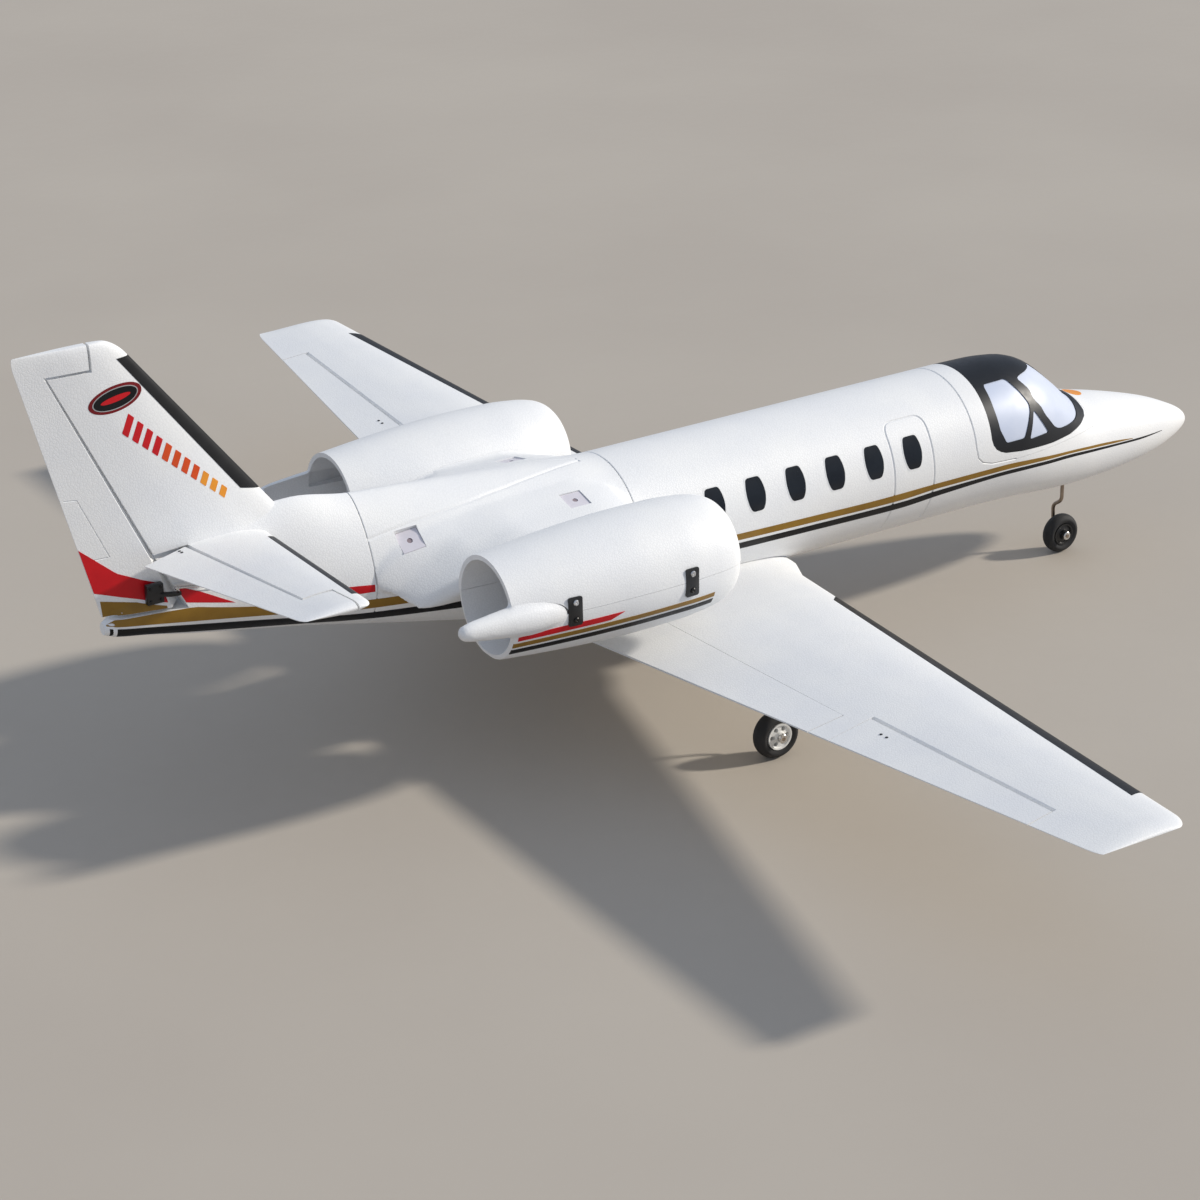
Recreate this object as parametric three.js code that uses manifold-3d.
// A twin ducted-fan model jet in expanded foam, about 1.07 m long, as separate named sub-parts.
// Millimetres, nose +X, port (left) +Y, up +Z, z = 0 where the wheels touch the ground.
import * as THREE from "three";
import { mergeVertices } from "three/addons/utils/BufferGeometryUtils.js";
import Module from "manifold-3d";

const wasm = await Module();
wasm.setup();

// ---- driving dimensions ----------------------------------------------------------------------
const GAP = 0.3; // clearance between pieces that touch
const RING_POINTS = 24; // points round one fuselage section
const RIGHT = -1; // starboard is -Y
const LEFT = 1;
const SIDES = { right: RIGHT, left: LEFT };

// Fuselage stations: x, top, widest height, bottom, half width, and how round the top half is.
const BODY = [
  [534.5, 97, 95, 93, 2.2, 2],
  [531, 101.5, 95.3, 88.5, 7, 2],
  [526, 105.5, 95.8, 85.5, 10.5, 2],
  [514, 112, 97, 80.5, 16.5, 2],
  [490, 122.5, 99, 74, 25, 2],
  [460, 132, 101.5, 70.2, 32.5, 2],
  [430, 140, 104.5, 68, 38.5, 2],
  [404, 146, 108, 67.3, 43.5, 2],
  [392, 150, 110.5, 67.6, 46, 2],
  [375, 165.5, 114, 68.3, 49, 2],
  [358, 180, 118.5, 69.5, 52, 2],
  [345, 188.5, 122, 70.6, 54.5, 2],
  [330, 193, 126, 72, 57, 2],
  [305, 195, 131, 73.5, 59.6, 2],
  [270, 195, 134.5, 74, 60.5, 2],
  [-64, 195, 134.5, 74, 60.5, 2],
  [-95, 198, 135.5, 74.5, 60.5, 1.95],
  [-140, 203, 138, 82.5, 57.5, 1.85],
  [-187, 207.5, 142.5, 93, 52.5, 1.75],
  [-240, 212.5, 149, 104, 45.5, 1.6],
  [-283, 216, 154.5, 113, 39.5, 1.5],
  [-332, 224, 160, 123.5, 31.5, 1.4],
  [-380, 222, 163, 132, 23.5, 1.35],
  [-420, 205, 162, 139.5, 17, 1.5],
  [-450, 180, 160, 146, 12, 1.8],
  [-476, 168, 159, 151, 8.5, 2],
  [-484, 163, 158.5, 154, 4.5, 2],
];
const SEAM_X = -283; // joint between the front fuselage and the tail
const CRADLE_FRONT_X = -64;
const CRADLE_LOW_Z = 150;
const CRADLE_SKIN = 8;
const FOAM_WALL = 10;
const TRAY_Z = 89.2; // flat floor of the battery bay

const HATCH = { back: 258.5, front: 399, low: 128.5, skin: 6 };
const CANOPY = { back: 275, low: 136.5, slope: -0.045, skin: 1.2 };

const WING = {
  rootChordZ: 77,
  rise: 0.066, // dihedral, mm of height for each mm outboard
  teX: -130,
  teSweep: 0.117,
  leX: 87.3,
  leSweep: -0.1235,
  tip: 590,
  thickness: 0.124,
  tipThickness: 0.1,
  aboveChord: 0.64,
};
const AILERON = { inner: [-50, 333], outer: [-45, 524], bevel: 32, slant: 0.09 };
const FLAP = { inner: [-67, 72], outer: [-62, 314], bevel: 48, slant: 0.02 };

const TAIL = { z: 205, rise: 0.134, leX: -355, leSweep: -0.121, teX: -459.4, teSweep: 0.12, tip: 217 };
const ELEVATOR = { hingeX: -417, sweep: 0.02, horn: 181, hornX: -392.5, hornGap: 1.8, bevel: 32, rootY: 8.5 };
const FIN = { hinge: [-423, 165], sweep: -0.463, te: [-483, 165], teSweep: -0.255 };
const FIN_LE = { x: -354, z: 237, sweep: -0.777 };
const FIN_TOP = 373;
const RUDDER_LOW = 168;
const RUDDER_SWING_ROOM = 2.3; // under the rudder, whose low edge dips as it swings on a leaning hinge
const BALANCE = { low: 355.5, front: -480 };

const NACELLE = { y: 118, z: 156.5, front: -38, back: -237 };
const NACELLE_OUTER = [[-38, 34.5], [-41, 37.5], [-48, 41], [-62, 44], [-88, 46.2], [-120, 46.5],
  [-160, 45.2],
  [-200, 42.4], [-237, 39]];
const NACELLE_INNER = [[-237, 35.4], [-205, 33], [-156, 29.4], [-92, 29.4], [-60, 29.6], [-44, 30.6],
  [-39, 32]];
const POD = { length: 92, tipX: -281, y: 154, z: 160, radius: 12.5, tipRadius: 6.5 };

const FAN = { back: -150, front: -98, outer: 29, inner: 27.4, hub: 12.5, rotorBack: -118 };
const WHEELS = {
  nose: { x: 402, y: 0, radius: 17, width: 12 },
  right: { x: -23, y: -178, radius: 19, width: 14 },
  left: { x: -23, y: 178, radius: 19, width: 14 },
};
const WIRE = 1.6; // undercarriage wire radius
const ROD = 0.9; // pushrod radius
const SERVO = { length: 23, width: 12, depth: 20, lug: 32 };
const ARM_THICK = 1.8;
const ARM_RAISE = 1.2; // how far a servo arm stands above its servo's datum

// ---- materials -------------------------------------------------------------------------------
const material = (color, roughness, metalness = 0) =>
  new THREE.MeshStandardMaterial({ color, roughness, metalness });
const FOAM = material(0xf2f2ee, 0.55);
const BLACK_GLOSS = material(0x101216, 0.15);
const CLEAR = material(0xcfd8e4, 0.08);
const RUBBER = material(0x17171a, 0.8);
const WHITE_PLASTIC = material(0xe8e8e6, 0.4);
const BLACK_PLASTIC = material(0x1a1a1c, 0.45);
const BLUE_PLASTIC = material(0x2a4a8c, 0.35);
const STEEL = material(0x9a948c, 0.35, 1);
const CARBON = material(0x202022, 0.4);
const SLEEVE = material(0x2c4c9c, 0.4);

// ---- solids ----------------------------------------------------------------------------------
function solidOf(geometry) {
  const bare = new THREE.BufferGeometry();
  const source = geometry.index ? geometry.toNonIndexed() : geometry;
  bare.setAttribute("position", source.getAttribute("position").clone());
  const merged = mergeVertices(bare, 1e-4);
  return new wasm.Manifold(new wasm.Mesh({
    numProp: 3,
    vertProperties: new Float32Array(merged.getAttribute("position").array),
    triVerts: new Uint32Array(merged.index.array),
  }));
}

function geometryOf(solid) {
  const mesh = solid.getMesh();
  const geometry = new THREE.BufferGeometry();
  geometry.setAttribute("position", new THREE.BufferAttribute(new Float32Array(mesh.vertProperties), 3));
  geometry.setIndex(new THREE.BufferAttribute(new Uint32Array(mesh.triVerts), 1));
  return geometry;
}

const join = (...shapes) => geometryOf(shapes.map(solidOf).reduce((all, one) => all.add(one)));
const cut = (shape, ...tools) =>
  geometryOf(tools.map(solidOf).reduce((left, one) => left.subtract(one), solidOf(shape)));
const meet = (a, b) => geometryOf(solidOf(a).intersect(solidOf(b)));

// The largest body of a shape, without the slivers that a cut may leave beside it.
const mainBody = (shape) =>
  geometryOf(solidOf(shape).decompose().reduce((best, one) => (one.volume() > best.volume() ? one : best)));

// Closed surface through a row of rings that have the same number of points.
function loft(rings) {
  const count = rings[0].length;
  const points = rings.flat();
  const centre = (ring) => ring.reduce((sum, p) => sum.map((v, i) => v + p[i] / count), [0, 0, 0]);
  const first = points.push(centre(rings[0])) - 1;
  const last = points.push(centre(rings[rings.length - 1])) - 1;
  const faces = [];
  for (let k = 0; k < count; k++) {
    const next = (k + 1) % count;
    for (let r = 0; r + 1 < rings.length; r++) {
      const a = r * count + k;
      const b = r * count + next;
      faces.push([a, b, b + count], [a, b + count, a + count]);
    }
    const end = (rings.length - 1) * count;
    faces.push([first, next, k], [last, end + k, end + next]);
  }
  const geometry = new THREE.BufferGeometry();
  geometry.setAttribute("position", new THREE.Float32BufferAttribute(points.flat(), 3));
  geometry.setIndex((isInsideOut(points, faces) ? faces.map(([a, b, c]) => [a, c, b]) : faces).flat());
  return geometry;
}

function isInsideOut(points, faces) {
  const [a, b, c] = [new THREE.Vector3(), new THREE.Vector3(), new THREE.Vector3()];
  const volume = faces.reduce((sum, f) => {
    a.fromArray(points[f[0]]);
    b.fromArray(points[f[1]]);
    c.fromArray(points[f[2]]);
    return sum + a.dot(b.cross(c));
  }, 0);
  return volume < 0;
}

const block = (low, high) => {
  const size = high.map((v, i) => v - low[i]);
  return new THREE.BoxGeometry(...size).translate(...low.map((v, i) => v + size[i] / 2));
};

// Round bar from a to b.
function bar(a, b, radius, sides = 12) {
  const from = new THREE.Vector3(...a);
  const to = new THREE.Vector3(...b);
  const turn = new THREE.Quaternion().setFromUnitVectors(
    new THREE.Vector3(0, 1, 0), to.clone().sub(from).normalize());
  return new THREE.CylinderGeometry(radius, radius, from.distanceTo(to), sides)
    .applyQuaternion(turn)
    .translate(...from.add(to).multiplyScalar(0.5).toArray());
}

// Bent wire: bars with a ball at each bend.
function wire(points, radius, sides = 7) {
  const bars = points.slice(1).map((p, i) => bar(points[i], p, radius, sides));
  const ball = new THREE.SphereGeometry(radius * 1.02, sides, 4);
  const bends = points.slice(1, -1).map((p) => ball.clone().translate(...p));
  return join(...bars, ...bends);
}

// Turned piece about the Y axis through (x, y, z); the profile is a closed list of [along, radius].
function turnedY(profile, [x, y, z], sides = 28) {
  const outline = [...profile, profile[0]].map(([along, radius]) => new THREE.Vector2(radius, along));
  return new THREE.LatheGeometry(outline, sides).translate(x, y, z);
}

// Turned piece about an axis parallel to X; the profile is a closed list of [x, radius].
function turnedX(profile, y, z, sides = 28) {
  const outline = [...profile, profile[0]].map(([along, radius]) => new THREE.Vector2(radius, along));
  return new THREE.LatheGeometry(outline, sides).rotateZ(-Math.PI / 2).translate(0, y, z);
}

function facingOut(geometry) {
  const solid = solidOf(geometry);
  if (solid.volume() > 0) return geometry;
  const flipped = geometry.clone();
  const index = flipped.index.array;
  for (let i = 0; i < index.length; i += 3) [index[i + 1], index[i + 2]] = [index[i + 2], index[i + 1]];
  return flipped;
}

// ---- fuselage shape --------------------------------------------------------------------------
// Value of one station column at x, with straight runs between the stations.
function bodyAt(x) {
  const i = Math.max(0, Math.min(BODY.length - 2, BODY.findIndex((row) => row[0] <= x) - 1));
  const [a, b] = [BODY[i], BODY[i + 1]];
  const share = (x - a[0]) / (b[0] - a[0]);
  return a.map((value, column) => value + (b[column] - value) * share);
}

function bodyRing(x, grow) {
  const [, top, middle, bottom, half, power] = bodyAt(x);
  const least = 0.8;
  return Array.from({ length: RING_POINTS }, (_, k) => {
    const angle = (2 * Math.PI * k) / RING_POINTS;
    const [c, s] = [Math.cos(angle), Math.sin(angle)];
    const bend = 2 / (s > 0 ? power : 2);
    const tall = Math.max(least, (s > 0 ? top - middle : middle - bottom) + grow);
    return [
      x,
      Math.max(least, half + grow) * Math.sign(c) * Math.abs(c) ** bend,
      middle + tall * Math.sign(s) * Math.abs(s) ** bend,
    ];
  });
}

// The fuselage from back to front, its skin moved out by grow.
function body(back, front, grow = 0) {
  const inside = BODY.map((row) => row[0]).filter((x) => x > back + 1 && x < front - 1);
  return loft([front, ...inside, back].map((x) => bodyRing(x, grow)));
}

const NOSE_X = BODY[0][0];
const TAIL_X = BODY[BODY.length - 1][0];

// ---- flying surfaces -------------------------------------------------------------------------
// Thickness of a section, 0 at its front edge to 1 at its back edge, as a share of the chord.
const SECTION = [[0, 0], [0.012, 0.3], [0.05, 0.58], [0.13, 0.84], [0.28, 1], [0.42, 0.96], [0.62, 0.72],
  [0.82, 0.38], [1, 0.07]];

// Ring of a section in a plane of constant span; above is the share of the thickness over the chord line.
function sectionPoints(le, te, thick, above, grow = 0) {
  const chord = te - le;
  const reach = grow * Math.sign(chord);
  const at = ([u, t]) => [le - reach + u * (chord + 2 * reach), t * thick + 2 * grow];
  const over = SECTION.map(at).map(([x, t]) => [x, t * above]);
  const under = SECTION.slice(1).reverse().map(at).map(([x, t]) => [x, -t * (1 - above)]);
  return [...over, ...under];
}

function wingRing(y, side, grow = 0, scale = 1) {
  const te = WING.teX + WING.teSweep * y;
  const blunt = Math.max(0, 1 - Math.max(0, y - 50) / 14) * 8; // glove in front of the wing root
  const le = WING.leX + WING.leSweep * y + blunt;
  const share = y / WING.tip;
  const thick = (le - te) * (WING.thickness + (WING.tipThickness - WING.thickness) * share) * scale;
  const z = WING.rootChordZ + WING.rise * y;
  return sectionPoints(le, te, thick, WING.aboveChord, grow).map(([x, t]) => [x, side * y, z + t]);
}

function wingBlank(side, grow = 0) {
  const stations = [grow ? -1 : GAP / 2 + 0.2, 50, 57, 64, 178, 333, 524, 570];
  const rings = stations.map((y) => wingRing(y, side, grow));
  rings.push(wingRing(583, side, grow, 0.8), wingRing(588, side, grow, 0.5),
    wingRing(WING.tip, side, grow, 0.2));
  return loft(rings);
}

// Height of the wing's upper surface over the point (x, y).
function wingTop(x, y) {
  const ring = wingRing(y, LEFT);
  const i = SECTION.findIndex((_, k) => ring[k + 1][0] <= x);
  const [a, b] = [ring[i], ring[i + 1]];
  return a[2] + ((b[2] - a[2]) * (x - a[0])) / (b[0] - a[0]);
}

// Prism behind a hinge line: its front face starts at the hinge on top and leans back underneath.
function behindHinge(inner, outer, side, bevel, slant, spread) {
  const lean = Math.tan((bevel * Math.PI) / 180);
  const reach = 160;
  const deep = 40;
  const outline = [[spread, 20], [spread, 0], [spread - deep * lean, -deep], [-reach, -deep], [-reach, 20]];
  const ringAt = ([x, y], outward) =>
    outline.map(([u, v]) => [x + u, side * (y + outward - slant * u), wingTop(x, y) + v]);
  return loft([ringAt(inner, -spread * 1.2), ringAt(outer, spread * 1.2)]);
}

function controlSurface(side, spec) {
  return meet(wingBlank(side), behindHinge(spec.inner, spec.outer, side, spec.bevel, spec.slant, 0));
}

function controlCutout(side, spec) {
  return behindHinge(spec.inner, spec.outer, side, 0, spec.slant, 0.6);
}

// ---- tailplane -------------------------------------------------------------------------------
function tailRing(y, side, grow = 0, scale = 1) {
  const le = TAIL.leX + TAIL.leSweep * y;
  const te = TAIL.teX + TAIL.teSweep * y;
  const thick = (11 - 0.015 * y) * scale;
  const z = TAIL.z + TAIL.rise * y;
  return sectionPoints(le, te, thick, 0.5, grow).map(([x, t]) => [x, side * y, z + t]);
}

function tailBlank(side, grow = 0) {
  const rings = [0, 9, 60, 120, 181, 206].map((y) => tailRing(y, side, grow));
  rings.push(tailRing(213, side, grow, 0.85), tailRing(216, side, grow, 0.55),
    tailRing(TAIL.tip, side, grow, 0.25));
  return loft(rings);
}

const elevatorHinge = (y) => [ELEVATOR.hingeX + ELEVATOR.sweep * y, y, TAIL.z + TAIL.rise * y];

// Region that belongs to the elevator: behind its V edge, plus the horn in front of the hinge at the tip.
function elevatorZone(side, spread) {
  const deep = 20;
  const lean = spread ? 0 : deep * Math.tan((ELEVATOR.bevel * Math.PI) / 180);
  const vee = (y, slant) => {
    const [x, , z] = elevatorHinge(y);
    return [[spread, 0], [spread - lean, deep], [-80, deep], [-80, -deep], [spread - lean, -deep]]
      .map(([u, v]) => [x + u, side * (y - slant * u), z + v]);
  };
  const main = loft([vee(ELEVATOR.rootY - spread, 0.3), vee(ELEVATOR.horn + 60, 0)]);
  const from = ELEVATOR.horn - (spread ? ELEVATOR.hornGap : 0);
  const horn = block(
    [-470, side > 0 ? from : -300, TAIL.z - 5],
    [ELEVATOR.hornX + spread, side > 0 ? 300 : -from, TAIL.z + 60]);
  return join(main, horn);
}

// ---- fin and rudder --------------------------------------------------------------------------
const hingeX = (z) => FIN.hinge[0] + FIN.sweep * (z - FIN.hinge[1]);

function finRing(z, shrink = 0) {
  const le = z >= 205 ? FIN_LE.x + FIN_LE.sweep * (z - FIN_LE.z) : FIN_LE.x + FIN_LE.sweep * (205 - FIN_LE.z);
  const te = FIN.te[0] + FIN.teSweep * (z - FIN.te[1]);
  const thick = z < 205 ? 17 + (205 - z) * 0.2 : 17 - (z - 205) * 0.045;
  return sectionPoints(le - shrink, te + shrink * 0.4, thick * (1 - shrink / 12), 0.5)
    .map(([x, t]) => [x, t, z]);
}

function finBlank() {
  return loft([finRing(RUDDER_LOW), finRing(205), finRing(300), finRing(367), finRing(371, 3),
    finRing(FIN_TOP, 8)]);
}

// Region that belongs to the rudder: behind its V edge, plus the balance on top.
function rudderZone(spread) {
  const wide = 20;
  const lean = spread ? 0 : wide * Math.tan((ELEVATOR.bevel * Math.PI) / 180);
  const vee = (z) => [[spread, 0], [spread - lean, wide], [-120, wide], [-120, -wide], [spread - lean, -wide]]
    .map(([u, v]) => [hingeX(z) + u, v, z]);
  const main = loft([vee(RUDDER_LOW - (spread ? RUDDER_SWING_ROOM : 0)), vee(400)]);
  const balance = block([-560, -wide, BALANCE.low - spread], [BALANCE.front + spread, wide, 400]);
  return join(main, balance);
}

// ---- nacelles --------------------------------------------------------------------------------
const nacelleSkin = (side, grow = 0) =>
  facingOut(turnedX([[NACELLE.back - grow, 0], ...[...NACELLE_OUTER].reverse().map(([x, r]) => [x, r + grow]),
    [NACELLE.front + grow, 0]], side * NACELLE.y, NACELLE.z));
const nacelleShell = (side) =>
  facingOut(turnedX([...NACELLE_OUTER, ...NACELLE_INNER], side * NACELLE.y, NACELLE.z));
const nacelleDuct = (side) =>
  facingOut(turnedX([[NACELLE.back - 40, 0], [NACELLE.back - 40, 35.4], ...NACELLE_INNER,
    [NACELLE.front + 20, 32],
    [NACELLE.front + 20, 0]], side * NACELLE.y, NACELLE.z));

function halfSpace(side, upper) {
  const wide = 48.5;
  const y = side * NACELLE.y;
  const [low, high] = upper ? [NACELLE.z + GAP, NACELLE.z + 60] : [NACELLE.z - 60, NACELLE.z];
  return block([NACELLE.back - 50, y - wide, low], [NACELLE.front + 10, y + wide, high]);
}

// Tapered fairing on the outer side of a nacelle, running aft past its outlet.
function pod(side, grow = 0) {
  const steps = [[0, 0.35], [3, 0.75], [8, 1], [POD.length * 0.6, 0.97], [POD.length, 0.6],
    [POD.length + 22, 0.1]];
  const rings = steps.map(([along, share], i) => {
    const taper = i < 3 ? POD.tipRadius : POD.radius;
    const radius = taper * share + grow;
    return Array.from({ length: 12 }, (_, k) => {
      const angle = (2 * Math.PI * k) / 12;
      return [
        POD.tipX + along + (i === 0 ? -grow : grow * (i === steps.length - 1)),
        side * (POD.y - along * 0.02 + radius * Math.cos(angle) * 0.9),
        POD.z - along * 0.03 + radius * Math.sin(angle),
      ];
    });
  });
  return loft(rings);
}

// Thick fairing between the fuselage shoulder and a nacelle.
function pylon(side) {
  const outline = (front, back, low, high) => {
    const middle = (low + high) / 2;
    const tall = (high - low) / 2;
    return [[front, 0], [front - 14, 0.75], [front - 45, 1], [(front + back) / 2, 1], [back + 60, 0.85],
      [back, 0.12],
      [back, -0.12], [back + 60, -0.85], [(front + back) / 2, -1], [front - 45, -1], [front - 14, -0.75]]
      .map(([x, share]) => [x, middle + tall * share]);
  };
  const at = (y, ...sizes) => outline(...sizes).map(([x, z]) => [x, side * y, z]);
  return loft([at(20, -66, -276, 138, 196), at(48, -66, -266, 137, 192), at(66, -68, -250, 139, 184),
    at(84, -70, -226, 141, 180)]);
}

// ---- the object ------------------------------------------------------------------------------
const model = new THREE.Group();

function piece(name, geometry, look) {
  const mesh = new THREE.Mesh(geometry, look);
  mesh.name = name;
  model.add(mesh);
  return mesh;
}

// Small servo in its own frame: shaft along +Z at the origin, body below and towards -X.
function servoShape() {
  const { length, width, depth, lug } = SERVO;
  const back = -length + width / 2;
  return join(
    block([back, -width / 2, -depth - 3], [width / 2, width / 2, -3]),
    block([back - (lug - length) / 2, -width / 2, -9], [width / 2 + (lug - length) / 2, width / 2, -6.5]),
    bar([0, 0, -4], [0, 0, -1.2], 5.2, 16));
}

// Arm of a crank that turns about +Z at the origin and points along -Y.
function armShape(length) {
  return join(
    bar([0, 0, -ARM_THICK / 2], [0, 0, ARM_THICK / 2], 3.4, 14),
    block([-1.9, -length - 2, -ARM_THICK / 2], [1.9, 0, ARM_THICK / 2]));
}

// Moves a crank or servo so that its shaft lies along axis and its arm points along reach.
function mount(geometry, origin, axis, reach) {
  const z = new THREE.Vector3(...axis).normalize();
  const y = new THREE.Vector3(...reach).negate().normalize();
  const x = y.clone().cross(z);
  return geometry.clone().applyMatrix4(new THREE.Matrix4().makeBasis(x, y, z).setPosition(...origin));
}

const unit = (v) => new THREE.Vector3(...v).normalize().toArray();
const plus = (a, b, scale = 1) => a.map((v, i) => v + scale * b[i]);

// --- linkages: each has a hinge point, the way its crank points, and where its servo's shaft is.
const CRANK = 14;
const STEER_Z = 107;
const rightHinge = unit([ELEVATOR.sweep, -1, TAIL.rise]);
const LINKS = {
  rudder: {
    axis: unit([FIN.sweep, 0, 1]), pivot: [hingeX(181), 0, 181], reach: [0, -1, 0], length: 16,
    shaft: [-303, -10, 164], channel: 5.4,
  },
  elevator: {
    axis: rightHinge, pivot: [elevatorHinge(15)[0], -15, elevatorHinge(15)[2]], reach: [0, 0, -1],
    length: CRANK,
    shaft: [-305, -15, 185], channel: 3.4,
  },
  steering: {
    axis: [0, 0, 1], pivot: [WHEELS.nose.x, 0, STEER_Z], reach: [0, -1, 0], length: CRANK,
    shaft: [352, 0, STEER_Z],
  },
};

// ---- fuselage pieces -------------------------------------------------------------------------
const cradleZone = (spread) =>
  block([SEAM_X - 5, -200, CRADLE_LOW_Z - spread], [CRADLE_FRONT_X + spread, 200, 300]);
const slope = Math.atan(CANOPY.slope);
const canopyZone = (grow) =>
  new THREE.BoxGeometry(HATCH.front - CANOPY.back + grow, 200, 200)
    .translate((HATCH.front - CANOPY.back) / 2, 0, 100 - grow)
    .rotateY(-slope)
    .translate(CANOPY.back, 0, CANOPY.low);
const hatchZone = (grow) =>
  block([HATCH.back - grow, -200, HATCH.low - grow], [HATCH.front + grow, 200, 300]);

function frontFuselage() {
  const shell = body(SEAM_X + GAP, NOSE_X);
  const cradleStep = cut(cradleZone(GAP), body(SEAM_X - 10, 0, -CRADLE_SKIN - GAP));
  const room = join(
    block([-55, -80, 106], [95.5, 80, 300]),
    block([95, -80, TRAY_Z], [323, 80, 300]),
    block([322, -80, 82], [428, 80, 300]));
  const bay = meet(body(-55, 428, -FOAM_WALL), room);
  const wings = [RIGHT, LEFT].map((side) => wingBlank(side, GAP));
  const wheelWell = block([392, -8, 60], [412, 8, 90]);
  return cut(shell, cradleStep, hatchZone(GAP), bay, ...wings, wheelWell);
}

function hatchShape() {
  const skin = cut(body(HATCH.back, HATCH.front), body(HATCH.back - 5, HATCH.front + 5, -HATCH.skin));
  return cut(meet(skin, hatchZone(0)), canopyZone(GAP));
}

// Outlines of the side panes in (x, z), and of one half of the windshield in (y, z).
const SIDE_WINDOWS = [
  [[285, 156], [284.5, 172], [286, 186.5], [310, 186.5], [317, 178], [322.5, 168], [321.5, 163], [310, 144],
    [290, 144.5]],
  [[317, 142.5], [325.5, 161.5], [336, 142.5]],
];
const WINDSHIELD = [[4, 150], [4, 186], [28, 186], [33.5, 181.5], [43.5, 170], [49.3, 156], [51.2, 144],
  [50, 140],
  [43, 139.5], [35, 142.5], [27, 145.5]];
const WINDSHIELD_BACK = 321;

// Frame of the canopy with its window openings.
function canopyFrame() {
  const skin = meet(cut(body(CANOPY.back, HATCH.front), body(CANOPY.back - 5, HATCH.front + 5, -CANOPY.skin)),
    canopyZone(0));
  const sideCuts = SIDE_WINDOWS.map((outline) => {
    const ringAt = (y) => outline.map(([x, z]) => [x, y, z]);
    return loft([ringAt(-80), ringAt(80)]);
  });
  const frontCuts = [RIGHT, LEFT].map((side) => {
    const ringAt = (x) => WINDSHIELD.map(([y, z]) => [x, side * y, z]);
    return loft([ringAt(WINDSHIELD_BACK), ringAt(420)]);
  });
  return cut(skin, ...sideCuts, ...frontCuts);
}

function canopyGlazing() {
  const layer = CANOPY.skin + GAP;
  const skin = cut(body(CANOPY.back + 0.5, HATCH.front - 0.5, -layer),
    body(CANOPY.back - 5, HATCH.front + 5, -layer - 1.2));
  return meet(skin, canopyZone(-0.2));
}

function tailPiece() {
  const cone = body(TAIL_X, SEAM_X);
  const bay = meet(body(-350, SEAM_X + 5, -5), block([-350, -60, 100], [SEAM_X + 5, 60, 260]));
  const stab = [RIGHT, LEFT].map((side) => tailBlank(side, GAP));
  const rods = [LINKS.rudder, LINKS.elevator].map((link) => bar(...rodLine(link), link.channel, 16));
  const whole = join(cone, finBlank());
  const joinerHole = bar([JOINER.x, -12, JOINER.z], [JOINER.x, 12, JOINER.z], 3.8, 16);
  const elevatorRoom = [RIGHT, LEFT].map((side) => elevatorSweepRoom(side));
  return cut(whole, bay, rudderZone(0.6), ...stab, ...rods, joinerHole, ...elevatorRoom);
}

// Room at the fin for the elevator roots as they swing.
function elevatorSweepRoom(side) {
  const [inner, outer] = [ELEVATOR.rootY - 1, 60];
  return block([-470, side > 0 ? inner : -outer, TAIL.z - 22],
    [ELEVATOR.hingeX + 1, side > 0 ? outer : -inner, TAIL.z + 26]);
}

const JOINER = { x: -421, z: TAIL.z + 1, radius: 1.2 };

// Ends of a linkage's straight pushrod, which lies beside the servo arm and the horn, a gap away from both.
function rodLine({ pivot, shaft, axis, reach, length }) {
  const beside = ARM_THICK / 2 + ROD + GAP + 0.1;
  return [plus(plus(shaft, reach, length), axis, ARM_RAISE + beside),
    plus(plus(pivot, reach, length), axis, beside + 0.4)];
}

piece("fuselage_front", frontFuselage(), FOAM);
piece("fuselage_tail", tailPiece(), FOAM);
piece("canopy_hatch", hatchShape(), FOAM);
piece("canopy_frame", canopyFrame(), BLACK_GLOSS);
piece("canopy_glazing", canopyGlazing(), CLEAR);

// ---- engines ---------------------------------------------------------------------------------
function cradleShape() {
  const saddle = meet(body(SEAM_X + GAP, CRADLE_FRONT_X), cradleZone(0));
  const halves = [RIGHT, LEFT].flatMap((side) => [
    meet(nacelleSkin(side), halfSpace(side, false)),
    pod(side),
    cut(pylon(side), meet(nacelleSkin(side, GAP), halfSpace(side, true))),
  ]);
  const ducts = [RIGHT, LEFT].map(nacelleDuct);
  const inner = body(SEAM_X - 10, 0, -CRADLE_SKIN);
  const belowSkin = cut(body(SEAM_X - 10, 0, GAP), block([SEAM_X - 20, -100, CRADLE_LOW_Z], [10, 100, 300]));
  return mainBody(cut(join(saddle, ...halves), inner, belowSkin, ...ducts));
}

piece("engine_cradle", cradleShape(), FOAM);
for (const [name, side] of Object.entries(SIDES)) {
  const cover = cut(meet(nacelleShell(side), halfSpace(side, true)), pod(side, GAP));
  piece(`nacelle_cover_${name}`, cover, FOAM);
}

// Duct with four vanes that carry the motor sleeve.
function fanDuct(y) {
  const { back, front, outer, inner, hub } = FAN;
  const ring = facingOut(turnedX([[back, inner], [back, outer], [front, outer], [front, inner]],
    y, NACELLE.z));
  const sleeve = facingOut(turnedX([[back + 4, hub], [back + 4, hub + 1.6], [back + 26, hub + 1.6],
    [back + 26, hub]],
    y, NACELLE.z, 18));
  const vanes = [0, 1, 2, 3].map((k) => {
    const angle = Math.PI / 4 + (k * Math.PI) / 2;
    return block([back + 8, -0.9, hub + 0.8], [back + 22, 0.9, inner + 0.8])
      .rotateX(angle).translate(0, y, NACELLE.z);
  });
  return join(ring, sleeve, ...vanes);
}

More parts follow.
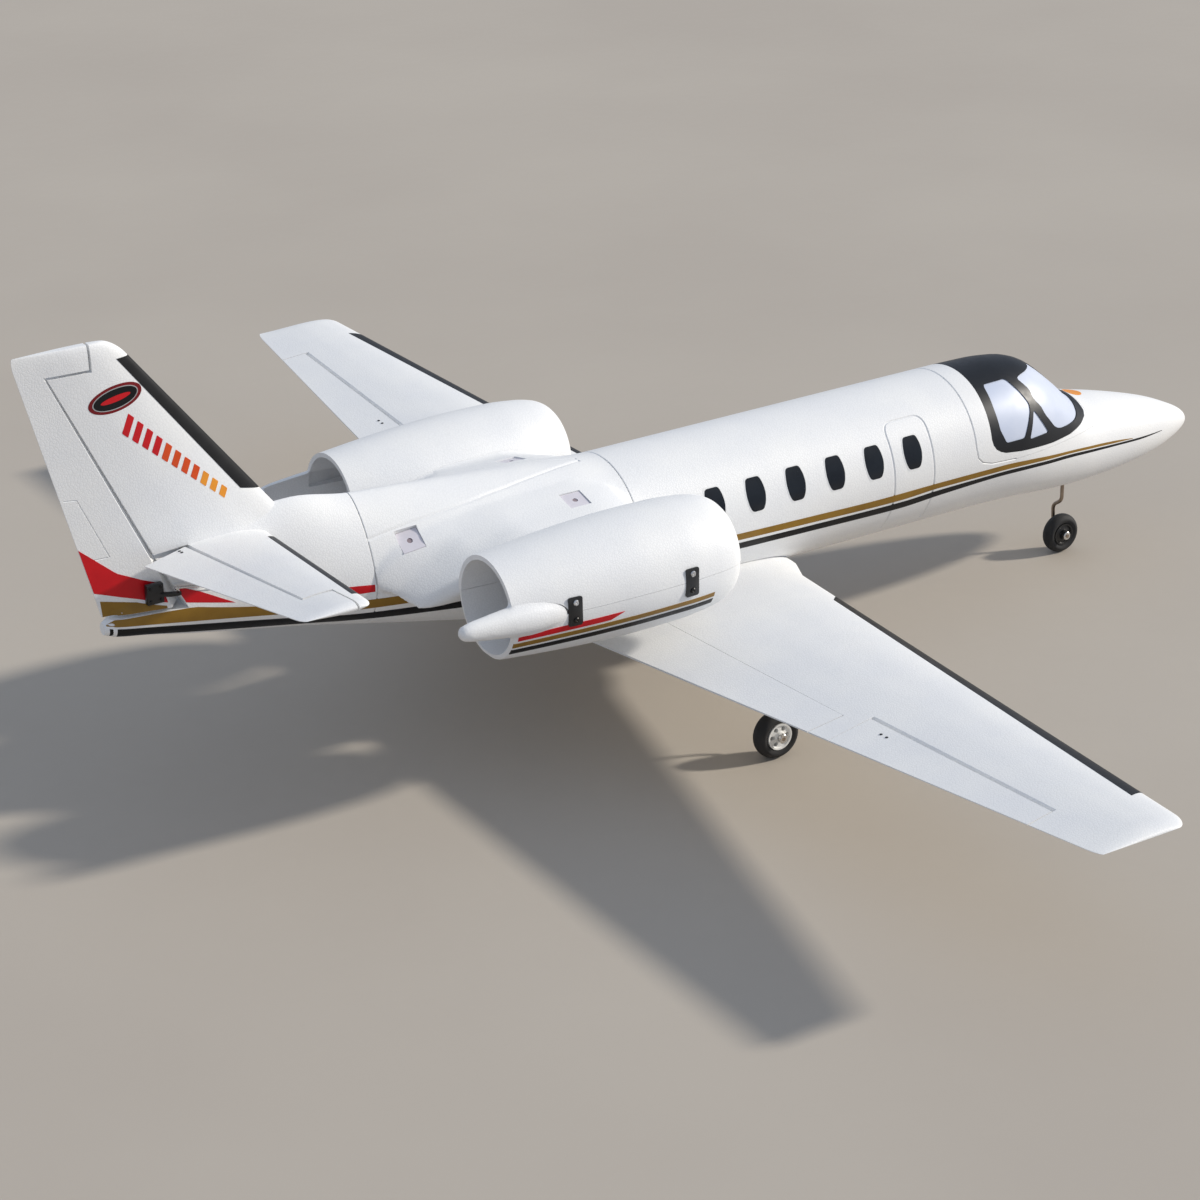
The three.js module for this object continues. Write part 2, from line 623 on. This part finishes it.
function fanRotor(y) {
  const { rotorBack } = FAN;
  const nose = [[rotorBack, 2.4], [rotorBack, 12.6], [rotorBack + 10, 12.6], [rotorBack + 17, 9.5],
    [rotorBack + 21, 4.5], [rotorBack + 22, 0], [rotorBack + 12, 0], [rotorBack + 12, 2.4]];
  const hub = facingOut(turnedX(nose, y, NACELLE.z, 18));
  const blades = Array.from({ length: 8 }, (_, k) =>
    new THREE.BoxGeometry(9, 1.2, 15.4).rotateZ(0.6).translate(rotorBack + 6, 0, 19.2)
      .rotateX((k * Math.PI) / 4).translate(0, y, NACELLE.z));
  return join(hub, ...blades);
}

function fanMotor(y) {
  const { rotorBack, hub, back } = FAN;
  return join(
    bar([back + 2, y, NACELLE.z], [rotorBack - 4.5, y, NACELLE.z], hub - GAP, 24),
    bar([rotorBack - 6, y, NACELLE.z], [rotorBack + 11, y, NACELLE.z], 2, 12));
}

for (const [name, side] of Object.entries(SIDES)) {
  const y = side * NACELLE.y;
  piece(`fan_duct_${name}`, fanDuct(y), BLACK_PLASTIC);
  piece(`fan_rotor_${name}`, fanRotor(y), BLACK_PLASTIC);
  piece(`fan_motor_${name}`, fanMotor(y), STEEL);
}

// ---- wing ------------------------------------------------------------------------------------
const SPAR = { x: 10, z: 82, half: 150, radius: 4 };
const AILERON_LINK_Y = 362;

// Crank geometry of one aileron: hinge, horn and servo shaft, all turning about the hinge direction.
function aileronLink(side) {
  const share = (AILERON_LINK_Y - AILERON.inner[1]) / (AILERON.outer[1] - AILERON.inner[1]);
  const x = AILERON.inner[0] + share * (AILERON.outer[0] - AILERON.inner[0]);
  const end = ([px, py]) => [px, side * py, wingTop(px, py)];
  const axis = unit(plus(end(AILERON.outer), end(AILERON.inner), -1));
  const pivot = [x, side * AILERON_LINK_Y, wingTopOnHinge(share)];
  return { axis, pivot, reach: [0, 0, -1], length: 20, turn: side > 0 ? Math.PI : 0,
    shaft: [x + 42, side * AILERON_LINK_Y, pivot[2] - 5] };
}

function wingTopOnHinge(share) {
  const [a, b] = [AILERON.inner, AILERON.outer].map(([x, y]) => wingTop(x, y));
  return a + share * (b - a);
}

const AILERON_LINKS = { right: aileronLink(RIGHT), left: aileronLink(LEFT) };

const servoBayBox = (side, { shaft }) => {
  const inboard = shaft[1] - side * 28;
  const outboard = shaft[1] + side * 6;
  return block([shaft[0] - 23, Math.min(inboard, outboard), 60],
    [shaft[0] + 12, Math.max(inboard, outboard), shaft[2] + 6.6]);
};

const STRUT_TOP = 88;
const strutY = (side) => side * 165;

function wingPanel(side, link) {
  return cut(wingBlank(side), controlCutout(side, AILERON), controlCutout(side, FLAP),
    servoBayBox(side, link),
    bar([SPAR.x, side * -1, SPAR.z], [SPAR.x, side * (SPAR.half + 1), SPAR.z], SPAR.radius + GAP, 16),
    bar([-15, strutY(side), 40], [-15, strutY(side), STRUT_TOP + GAP], WIRE + GAP, 14));
}

function hornShape({ pivot, reach, length, axis }, drop) {
  const tip = plus(pivot, reach, length);
  const wide = 1;
  const flat = (p, dx, dz) => [p[0] + dx, p[1], p[2] + dz];
  const outline = [flat(tip, 3, -2.5), flat(tip, -3, -2.5), flat(plus(pivot, reach, drop), -13, 0),
    flat(plus(pivot, reach, drop), -3.5, 0)];
  return loft([outline.map((p) => plus(p, axis, -wide)), outline.map((p) => plus(p, axis, wide))]);
}

for (const [name, side] of Object.entries(SIDES)) {
  const link = AILERON_LINKS[name];
  piece(`wing_${name}`, wingPanel(side, link), FOAM);
  piece(`aileron_${name}`, controlSurface(side, AILERON), FOAM);
  piece(`flap_${name}`, controlSurface(side, FLAP), FOAM);
  addLinkage(`aileron_${name}`, link, 10.6);
}
piece("wing_spar", bar([SPAR.x, -SPAR.half, SPAR.z], [SPAR.x, SPAR.half, SPAR.z], SPAR.radius, 14), CARBON);

// Servo, arm, pushrod and, where hornDrop is given, the horn that starts that far below its hinge.
function addLinkage(name, link, hornDrop) {
  const { shaft, axis, reach, length, turn = 0 } = link;
  piece(`${name}_servo`, mount(servoShape().rotateZ(turn), plus(shaft, axis, -1), axis, reach), BLUE_PLASTIC);
  piece(`${name}_servo_arm`, mount(armShape(length), plus(shaft, axis, ARM_RAISE), axis, reach),
    WHITE_PLASTIC);
  piece(`${name}_pushrod`, pushrodShape(link), STEEL);
  if (hornDrop) piece(`${name}_horn`, hornShape(link, hornDrop), BLACK_PLASTIC);
}

function pushrodShape(link) {
  return bar(...rodLine(link), ROD, 8);
}

// ---- tail surfaces ---------------------------------------------------------------------------
const stabBlank = join(tailBlank(RIGHT), tailBlank(LEFT));
piece("tailplane", cut(stabBlank, elevatorZone(RIGHT, 0.6), elevatorZone(LEFT, 0.6), centreTrim()), FOAM);

// Takes the tailplane's back edge away between the elevators, where the fin stands.
function centreTrim() {
  return block([-480, -ELEVATOR.rootY - 12, TAIL.z - 20],
    [ELEVATOR.hingeX + 0.6, ELEVATOR.rootY + 12, TAIL.z + 20]);
}

for (const [name, side] of Object.entries(SIDES)) {
  const [reach, depth] = side < 0 ? [1.5, 26] : [3.1, 15];
  const pocket = bar([JOINER.x, 0, JOINER.z], [JOINER.x, side * depth, JOINER.z], reach, 14);
  piece(`elevator_${name}`, cut(meet(tailBlank(side), elevatorZone(side, 0)), pocket), FOAM);
}
piece("elevator_joiner", bar([JOINER.x, -25, JOINER.z], [JOINER.x, 14, JOINER.z], JOINER.radius, 10), STEEL);
addLinkage("elevator", LINKS.elevator, 5.4);

piece("rudder", meet(finBlank(), rudderZone(0)), FOAM);
addLinkage("rudder", LINKS.rudder);
piece("rudder_horn", rudderHorn(LINKS.rudder), BLACK_PLASTIC);

// Plate on the rudder's side with an arm out to the pushrod.
function rudderHorn({ pivot, length }) {
  const [x, , z] = pivot;
  const plate = block([x - 21, -10.2, z - 9], [x - 7, -8.6, z + 8]);
  const armAt = (height) => [[x - 16, -9, height], [x - 8, -9, height], [x + 2.5, -length - 2.5, height],
    [x - 2.5, -length - 2.5, height]];
  const arm = loft([armAt(z - 3), armAt(z - 1)]);
  return join(plate, arm);
}

// ---- undercarriage ---------------------------------------------------------------------------
function wheelPieces(name, { x, y, radius, width }, hubLook) {
  const centre = [x, y, radius];
  const rim = radius * 0.56;
  const half = width / 2;
  const tyre = [[-half + 2, rim + GAP], [-half, radius - 4.5], [-half + 1.6, radius - 1.4], [-2, radius],
    [2, radius],
    [half - 1.6, radius - 1.4], [half, radius - 4.5], [half - 2, rim + GAP]];
  const hub = [[-half - 0.5, WIRE + 0.4], [-half - 0.5, 4], [-half + 2, 4.4], [-half + 2, rim - 1.6],
    [-half + 0.6, rim],
    [half - 0.6, rim], [half - 2, rim - 1.6], [half - 2, 4.4], [half + 0.5, 4], [half + 0.5, WIRE + 0.4]];
  piece(`${name}_tyre`, facingOut(turnedY(tyre, centre, 22)), RUBBER);
  piece(`${name}_hub`, facingOut(turnedY(hub, centre, 16)), hubLook);
}

wheelPieces("nose", WHEELS.nose, BLACK_PLASTIC);
wheelPieces("main_right", WHEELS.right, WHITE_PLASTIC);
wheelPieces("main_left", WHEELS.left, WHITE_PLASTIC);

const nose = WHEELS.nose;
const strut = (points) => wire(points, WIRE);
piece("nose_strut", strut([[nose.x, 0, STEER_Z + 5], [nose.x, 0, 47], [nose.x - 1, 9.5, 40],
  [nose.x, 9.5, nose.radius],
  [nose.x, -9.5, nose.radius]]), STEEL);
for (const [name, side] of Object.entries(SIDES)) {
  const { x, radius } = WHEELS[name];
  const y = strutY(side);
  piece(`main_strut_${name}`, strut([[-15, y, STRUT_TOP], [-15, y, 32], [x, y, radius], [x, side * 188, radius]]),
    STEEL);
}

const blockHole = bar([nose.x, 0, 60], [nose.x, 0, 130], WIRE + GAP, 14);
piece("nose_steering_block", cut(block([nose.x - 9, -7.5, 72], [nose.x + 9, 7.5, 99]), blockHole),
  WHITE_PLASTIC);
const steeringArm = mount(armShape(CRANK), [nose.x, 0, STEER_Z], [0, 0, 1], [0, -1, 0]);
piece("nose_steering_arm", cut(steeringArm, blockHole), WHITE_PLASTIC);
addLinkage("steering", LINKS.steering);

// ---- power and radio -------------------------------------------------------------------------
piece("battery", block([150, -21, TRAY_Z + GAP], [292, 21, TRAY_Z + 26]), SLEEVE);
piece("receiver", block([104, -13, TRAY_Z + GAP], [144, 13, TRAY_Z + 14]), BLACK_PLASTIC);
for (const [name, side] of Object.entries(SIDES)) {
  piece(`speed_controller_${name}`, block([-40, side * 19 - 13, 107], [14, side * 19 + 13, 116]), SLEEVE);
}

export default model;
